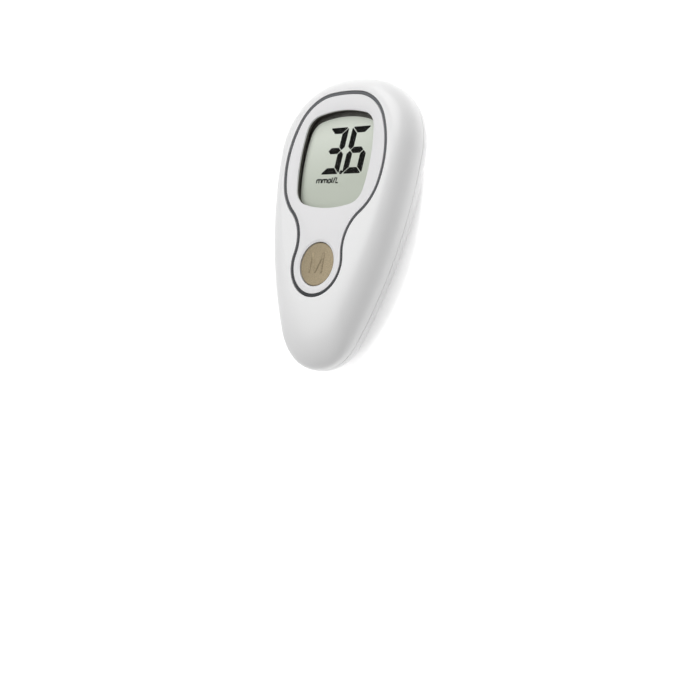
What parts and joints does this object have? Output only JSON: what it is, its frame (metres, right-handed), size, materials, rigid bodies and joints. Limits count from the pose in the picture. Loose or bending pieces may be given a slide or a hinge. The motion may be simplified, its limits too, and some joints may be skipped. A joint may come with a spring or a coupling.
{
  "type": "blood glucose meter",
  "caption": "Hand-held egg-shaped blood glucose meter with a keyhole faceplate, segment display, memory button, strip port, strip ejector slide and hinged battery door.",
  "frame": {"origin": "middle of the back's resting plane, at the centre of the outline", "axes": "+Z out of the display face, +Y along the meter towards the display and strip port, X across it"},
  "size_m": [0.052, 0.088, 0.0135],
  "materials": {
    "shell_white": "high gloss moulded ABS",
    "faceplate_pale": "satin, very fine grain",
    "ring_dark": "semi-gloss",
    "bezel_charcoal": "matt",
    "lens_clear": "polished acrylic",
    "lcd_glass": "polished",
    "reflector_grey": "matt reflector film",
    "segment_black": "liquid crystal, dark",
    "frame_black": "matt",
    "elastomer": "matt, fine dark layers",
    "board_green": "solder mask over glass-fibre laminate",
    "chip_black": "matt moulding compound",
    "crystal_can": "satin",
    "passive_ceramic": "fired ceramic, matt",
    "buzzer_black": "matt",
    "spring_steel": "bright drawn",
    "button_champagne": "satin metallic paint, fine grain",
    "port_dark": "satin",
    "connector_white": "satin",
    "contact_gold": "gold plated, bright",
    "slider_grey": "satin",
    "contact_nickel": "nickel plated",
    "cell_steel": "nickel-plated steel, brushed",
    "screw_zinc": "zinc plated"
  },
  "bodies": {
    "case": {"front_cover": "shell_white", "rear_cover": "shell_white", "trim_ring": "ring_dark", "faceplate": "faceplate_pale", "display_bezel": "bezel_charcoal", "display_lens": "lens_clear", "lcd_front_glass": "lcd_glass", "lcd_rear_glass": "lcd_glass", "lcd_reflector": "reflector_grey", "lcd_segments": "segment_black", "lcd_frame": "frame_black", "zebra_strip": "elastomer", "main_board": "board_green", "microcontroller": "chip_black", "measurement_amplifier": "chip_black", "memory_chip": "chip_black", "clock_crystal": "crystal_can", "chip_passives": "passive_ceramic", "buzzer": "buzzer_black", "dome_switch": "spring_steel", "strip_port_mouth": "port_dark", "strip_connector": "connector_white", "strip_contacts": "contact_gold", "ejector_spring": "spring_steel", "battery_contact_negative": "contact_nickel", "battery_contact_positive": "contact_nickel", "coin_cell": "cell_steel", "case_screws": "screw_zinc", "board_screws": "screw_zinc"},
    "button": {"memory_button": "button_champagne"},
    "ejector": {"ejector_slider": "slider_grey"},
    "door": {"battery_door": "shell_white"}
  },
  "joints": [
    {"name": "memory_button_press", "type": "slide", "parent": "case", "child": "button", "axis": [0, 0, -1], "range_m": [0, 0.0005], "stiffness_N_per_m": 800, "springref_m": -0.001, "deforming": ["dome_switch"]},
    {"name": "ejector_push", "type": "slide", "parent": "case", "child": "ejector", "axis": [0, 1, 0], "range_m": [0, 0.0055], "stiffness_N_per_m": 120, "springref_m": -0.002, "deforming": ["ejector_spring"]},
    {"name": "battery_door_hinge", "type": "hinge", "parent": "case", "child": "door", "pos_m": [0, 0.00445, 0.0009], "axis": [1, 0, 0], "range_deg": [0, 95]}
  ]
}
